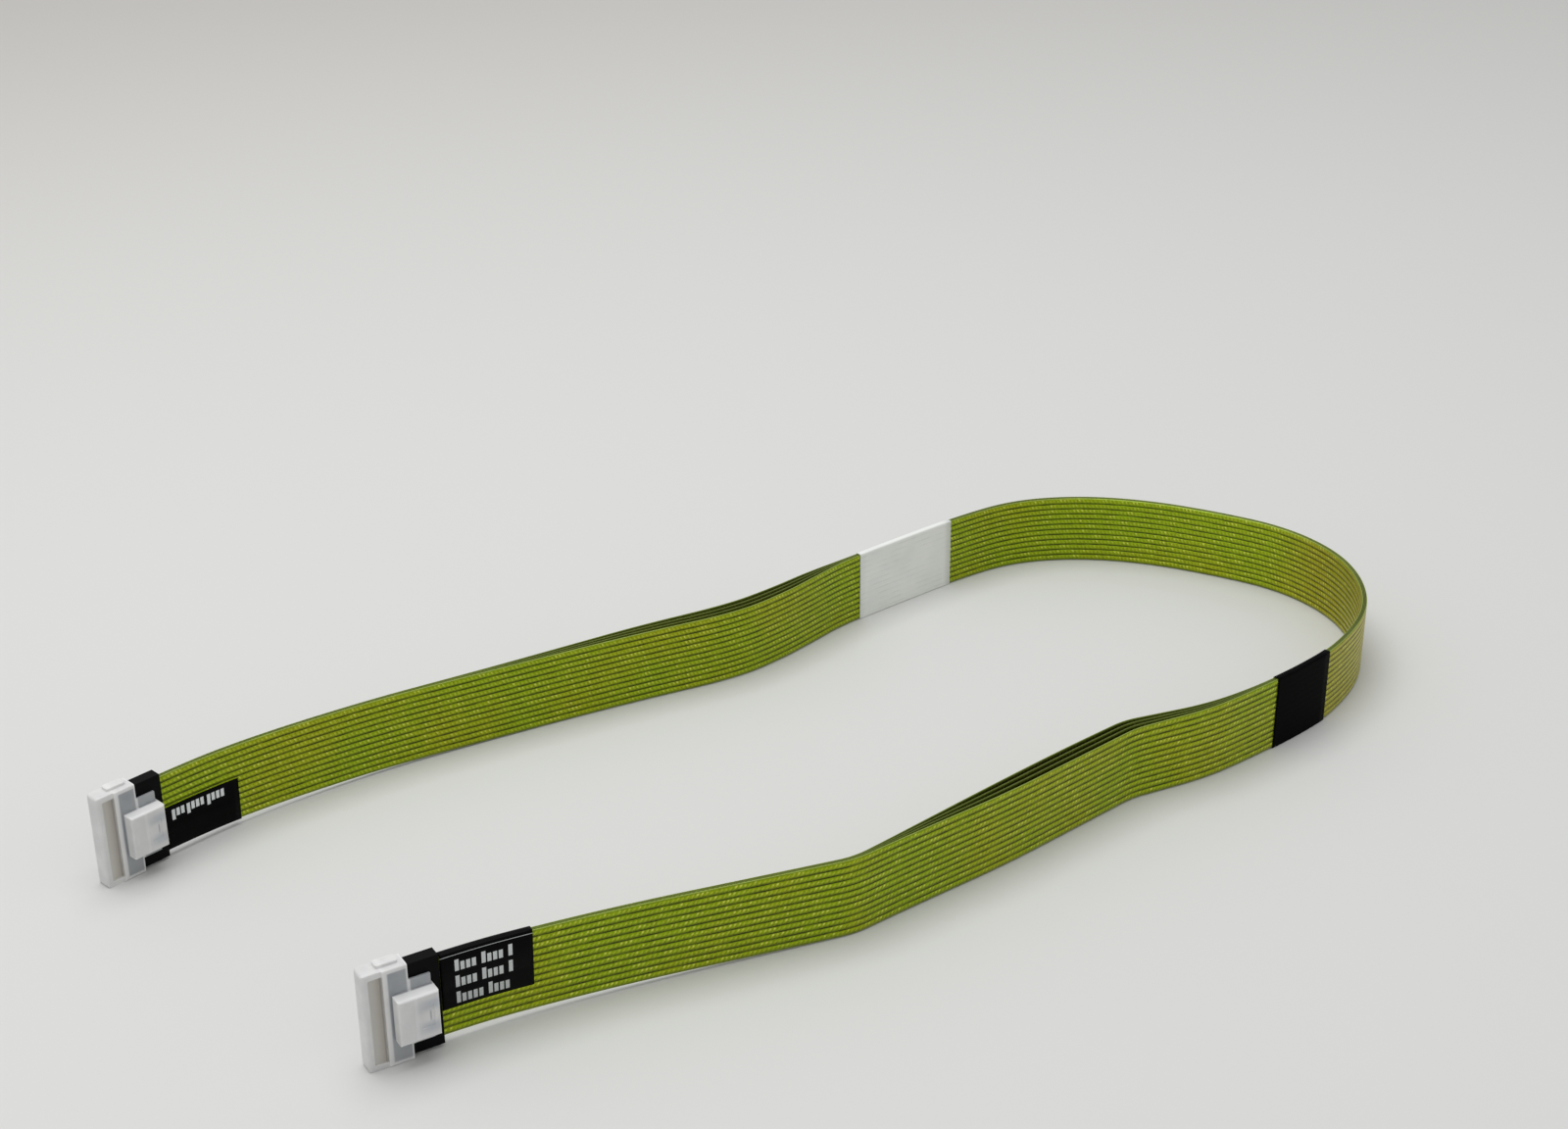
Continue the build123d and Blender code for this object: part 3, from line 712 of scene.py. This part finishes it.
# %% [markdown]
# ## The plug's finishes
# The black mouldings, the latch's steel, the card and its gold keep their exact shapes, because a plug is
# all true edges and fits. What they need is a surface: a fine moulded grain, steel with the lines of its
# rolling, the weave in the card's laminate, and gold whose tone isn't quite even.

# %% Finishes of the plug
def black_moulding():
    """Black plastic with a fine matt grain."""
    plastic = Finish("black_moulding", specular_ior_level=0.06)
    grain = plastic.noise(2600, 2)
    shades = (0.001, 0.0011, 0.0011), (0.003, 0.0033, 0.0033)
    plastic.feed("Base Color", plastic.mix(*shades, plastic.noise(150, 3)))
    plastic.feed("Roughness", 0.42 + grain * 0.2)
    plastic.bump(grain, 0.25, 0.00003)
    return plastic.material


def spring_steel():
    """Steel strip with the lines of its rolling."""
    steel = Finish("spring_steel", metallic=1.0)
    rolled = steel.node("ShaderNodeMapping", None, {"Vector": steel.place(), "Scale": (60, 60, 2500)})
    lines = steel.noise(1, 3, where=rolled)
    steel.feed("Base Color", steel.mix((0.42, 0.42, 0.43), (0.60, 0.60, 0.60), lines))
    steel.feed("Roughness", 0.22 + lines * 0.2)
    return steel.material


def card_laminate():
    """Green laminate whose weave shows faintly."""
    card = Finish("card_laminate", roughness=0.35)
    weave = card.noise(1400, 2)
    card.feed("Base Color", card.mix((0.012, 0.085, 0.035), (0.025, 0.13, 0.055), weave))
    card.bump(weave, 0.1, 0.00002)
    return card.material


def gold_plate():
    """Gold with a slightly uneven tone."""
    gold = Finish("gold_plate", metallic=1.0)
    wear = gold.noise(1200, 3)
    gold.feed("Base Color", gold.mix((0.83, 0.58, 0.21), (0.90, 0.68, 0.32), wear))
    gold.feed("Roughness", 0.2 + wear * 0.15)
    return gold.material


# %% Finishes dressed onto the plug's pieces
black, steel = black_moulding(), spring_steel()
FINISHES = {
    "shell_cover": black,
    "shell_base": black,
    "plug_nose": black,
    "wire_potting": black,
    "latch_button": black,
    "latch_leaf": steel,
    "latch_pin": steel,
    "paddle_card": card_laminate(),
    "contact_pads": gold_plate(),
}


def dress(name, material):
    """Gives a piece of the construction its one material."""
    nodes[name].data.materials.clear()
    nodes[name].data.materials.append(material)


for end in PLUGS:
    for piece, material in FINISHES.items():
        dress(f"{piece}_{end}", material)
print("pieces of the plugs dressed:", len(PLUGS) * len(FINISHES))

# %% [markdown]
# ## The milky cap
# The cap is a soft milky moulding that lets a little light through. A clear plastic with a cloudy inside
# would be the true way, but it renders slowly and noisily, so the colour says what the light does, as painted
# light and shade. It is painted cool and dark where the black plug lies right behind it, warm and darker
# towards the back of the hollow in the front slab, with a line of painted shade at the step behind it, and
# bright at its thin edges and welds. Painted shade stands for a small slot in the hump, and a little
# subsurface light softens all of it. The places are those of the cap's own steps.

# %% Places on the milky cap
# Along the plug, from its back, where plus is the cable's way.
PANEL_START = -0.0198  # the hollow in the front slab
STEP_LINE = -0.0162  # the line of painted shade at the back of that hollow
SLAB_END = -0.0160
SHADE_START = -0.0146  # the black shell shows through from here on
HUMP_START = -0.0144
SHELL_FRONT = -0.0140  # rims and welds look lit from here on
HUMP_SHADE = (-0.0105, -0.0050)  # the shade under the hump grows between these
BODY_END = -0.0090
# a small slot in the hump, shown only by painted shade
SLOT_PLACE = -0.0051
HUMP_END = -0.0024
# Across the plug's thickness, where minus is the latch's side.
HUMP_FACE = -0.0035
# Up or down from the plug's middle.
HUMP_HALF = 0.0069
PANEL_HALF = 0.0132
SHELL_HALF = 0.0138
# How far each thing reaches from its place.
LIT_EDGE = 0.0007
HUMP_EDGE = 0.0006
SLAB_GLOW = 0.0014
STEP_REACH = 0.0005
SLOT_SIZE = (0.0004, 0.0022)  # along and up
SOFT = 0.0003  # half of a mask's fade

# %% Colours of the milky cap
MILK_GREY, MILK_WHITE = (0.63, 0.63, 0.635), (0.72, 0.72, 0.715)
# the hollow's colours, painted darker towards its back as shade
PANEL_FRONT, PANEL_BACK = (0.58, 0.56, 0.51), (0.38, 0.345, 0.295)
STEP_PAINTED_SHADE = (0.26, 0.24, 0.215)
OVER_BLACK = (0.24, 0.26, 0.285)
HUMP_COOL = (0.44, 0.465, 0.51)
EDGE_WHITE = (0.86, 0.86, 0.86)
SLOT_PAINTED_SHADE = (0.36, 0.37, 0.39)
MILKY_LIGHT = {"subsurface_weight": 0.3, "subsurface_scale": 0.003, "subsurface_radius": (1.0, 0.95, 0.9)}


# %% The milky finish
def own_axes(plastic, end):
    """Lengths along plug `end`'s own axes: out along the cable, across its thickness, and up."""
    (x, y), heading = PLUGS[end]
    place = {"Location": (x, y, PLUG_HEIGHT), "Rotation": (0, 0, math.radians(heading))}
    inputs = {"Vector": plastic.place(), **place}
    return plastic.parts(plastic.node("ShaderNodeMapping", {"vector_type": "TEXTURE"}, inputs))


def milky_moulding(end):
    """Milky plastic, with each mask laid over the last, from the whole cap down to its small slot."""
    plastic = Finish(f"milky_moulding_{end}", **MILKY_LIGHT)
    out, across, up = own_axes(plastic, end)
    cloud = plastic.noise(130, 3).ramp(0.3, 0.75)

    def near(value, place, width=LIT_EDGE):
        return 1 - (value - place).size().ramp(width * 0.3, width)

    def past(value, place):
        return value.ramp(place - SOFT, place + SOFT)

    slab = 1 - past(out, SLAB_END)
    panel = slab * past(out, PANEL_START) * (1 - past(up.size(), PANEL_HALF))
    hump = (1 - past(across, HUMP_FACE)) * past(out, HUMP_START)
    over_black = past(out, SHADE_START) * (1 - hump) * (1 - past(up.size(), SHELL_HALF))
    inset = (up.size() - HUMP_HALF / 2).size().ramp(0.0004, 0.0026) * hump
    milk = plastic.mix(MILK_GREY, MILK_WHITE, cloud)
    # painted shade in the hollow of the front slab, darker and warmer towards its back
    hollow_painted_shade = plastic.mix(PANEL_FRONT, PANEL_BACK, out.ramp(PANEL_START, SLAB_END))
    # a line of painted shade at the step behind the hollow
    step = near(out, STEP_LINE, STEP_REACH) * slab * (1 - past(up.size(), PANEL_HALF))
    warm = plastic.mix(plastic.mix(milk, hollow_painted_shade, panel * 0.9), STEP_PAINTED_SHADE, step * 0.85)
    cool = plastic.mix(warm, OVER_BLACK, over_black * (0.72 + cloud * 0.2))
    shaded = plastic.mix(cool, HUMP_COOL, hump * (1 - inset) * out.ramp(*HUMP_SHADE) * 0.75)
    weld = near(out, BODY_END) * (1 - hump * 0.65)
    rims = near(out, HUMP_END, HUMP_EDGE) + near(up.size(), HUMP_HALF, HUMP_EDGE) * hump + weld
    glow = near(out, SLAB_END, SLAB_GLOW) * past(out, STEP_LINE) * 0.5
    edges = rims * past(out, SHELL_FRONT) + glow
    lit = plastic.mix(shaded, EDGE_WHITE, edges.math("MINIMUM", 1) * 0.6)
    # painted shade stands for a small slot in the hump
    slot_shade = near(out, SLOT_PLACE, SLOT_SIZE[0]) * near(up, 0, SLOT_SIZE[1]) * hump
    plastic.feed("Base Color", plastic.mix(lit, SLOT_PAINTED_SHADE, slot_shade * 0.8))
    plastic.feed("Roughness", 0.34 + plastic.noise(500, 2) * 0.14)
    plastic.bump(plastic.noise(420, 3), 0.12, 0.0001)
    return plastic.material


# %% [markdown]
# ## Rounding the caps
# The construction's cap has sharp corners, and a soft moulding has none. A Bevel modifier could round it,
# but the cap comes as loose triangles, which share no edges to bevel. So a copy is merged, its flat faces
# are joined, and only the edges that really turn are bevelled.

# %% Rounding the caps
CAP_ROUND = 0.0003
FLAT = math.radians(0.5)  # faces that turn less than this are joined
SHARP = math.radians(35)  # edges that turn more than this are rounded


def softened(name, node, width):
    """A copy of a CAD piece with its sharp edges rounded off."""
    shape = bmesh.new()
    shape.from_mesh(nodes[node].data)
    bmesh.ops.remove_doubles(shape, verts=shape.verts, dist=MERGE)
    bmesh.ops.dissolve_limit(shape, angle_limit=FLAT, verts=shape.verts, edges=shape.edges)
    sharp = [edge for edge in shape.edges if edge.is_manifold and edge.calc_face_angle() > SHARP]
    bmesh.ops.bevel(
        shape, geom=sharp, offset=width, offset_type="OFFSET", segments=2, profile=0.5, affect="EDGES",
        clamp_overlap=True, material=-1,
    )
    bmesh.ops.triangulate(shape, faces=[face for face in shape.faces if len(face.verts) > 4])
    piece = finish_piece(name, shape, smooth=True)
    piece.data.set_sharp_from_angle(angle=SHARP)
    return piece


for end in PLUGS:
    cap = softened(f"cap_{end}_moulding", f"dust_cap_{end}", CAP_ROUND)
    cap.data.materials.append(milky_moulding(end))
    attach(cap, f"cap_{end}")
    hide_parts(f"dust_cap_{end}")
    print(cap.name, "faces", len(cap.data.polygons))

# %% [markdown]
# ## The ribbons' lengths
# A ribbed skin has no centre line of its own. Each ribbon's length along its line is worked out here, and
# not kept.

# %% The ribbons' lengths
for number, line in enumerate(ribbon_lines, 1):
    distances(line)[-1]
print("cords declared:", len(ribbon_lines))

# %% [markdown]
# ## The stage
# A pale floor, one wide soft lamp overhead and an even sky light the cable plainly, so that a colour
# renders about as it is written. Small lamps would make the film glitter and its shadows hard. The floor is
# one large plane that turns a little warmer and darker far behind the cable.

# %% The floor
FLOOR_SIZE = 8.0
FLOOR_PALE, FLOOR_WARM = (0.66, 0.665, 0.655), (0.60, 0.585, 0.56)
FLOOR_FADE = (0.2, 1.4)  # along Y, where it turns warmer


def pale_floor():
    paper = Finish("pale_floor", roughness=0.6)
    depth = paper.parts(paper.place())[1]
    paper.feed("Base Color", paper.mix(FLOOR_PALE, FLOOR_WARM, depth.ramp(*FLOOR_FADE)))
    return paper.material


shape = bmesh.new()
bmesh.ops.create_grid(shape, x_segments=1, y_segments=1, size=FLOOR_SIZE / 2)
floor = finish_piece("floor", shape, smooth=False)
floor.data.materials.append(pale_floor())
print("floor's side:", FLOOR_SIZE)

# %% The light
LAMP_SIZE = 1.2
LAMP_POWER = 12
LAMP_PLACE = (-0.15, 0.25, 1.4)
SKY_COLOUR = (1.0, 0.995, 0.985, 1)
SKY_STRENGTH = 0.6

lamp = bpy.data.lights.new("overhead", "AREA")
lamp.shape = "SQUARE"
lamp.size = LAMP_SIZE
lamp.energy = LAMP_POWER
overhead = bpy.data.objects.new("overhead", lamp)
overhead.location = LAMP_PLACE
bpy.context.scene.collection.objects.link(overhead)

world = bpy.data.worlds.new("sky")
world.use_nodes = True
sky = world.node_tree.nodes["Background"]
sky.inputs["Color"].default_value = SKY_COLOUR
sky.inputs["Strength"].default_value = SKY_STRENGTH
bpy.context.scene.world = world
print("lamp above the floor:", LAMP_PLACE[2], "sky strength:", SKY_STRENGTH)

# %% [markdown]
# ## The camera
# It stands in front of the cable and to its left, above the plugs' end, so that both plugs show their latch
# side and the U runs away from it. A slightly long lens keeps the far leg from looking small. A constraint
# could aim the camera, but three angles say plainly where it looks.

# %% The camera
SENSOR, FOCAL_LENGTH = 36, 55.7  # millimetres
NEAREST = 0.01
CAMERA_PLACE = (-0.3733, -0.5470, 0.3922)
HEADING, TILT, ROLL = math.radians(-33.5), math.radians(64.137), math.radians(-0.42)

lens = bpy.data.cameras.new("camera")
lens.sensor_width = SENSOR
lens.lens = FOCAL_LENGTH
lens.clip_start = NEAREST
camera = bpy.data.objects.new("camera", lens)
bpy.context.scene.collection.objects.link(camera)
turn = Matrix.Rotation(HEADING, 4, "Z") @ Matrix.Rotation(TILT, 4, "X")
roll = Matrix.Rotation(ROLL, 4, "Z")
camera.matrix_world = Matrix.Translation(CAMERA_PLACE) @ turn @ roll
bpy.context.scene.camera = camera
bpy.context.scene.view_settings.view_transform = "Standard"
print("camera's height:", CAMERA_PLACE[2], "lens:", FOCAL_LENGTH)
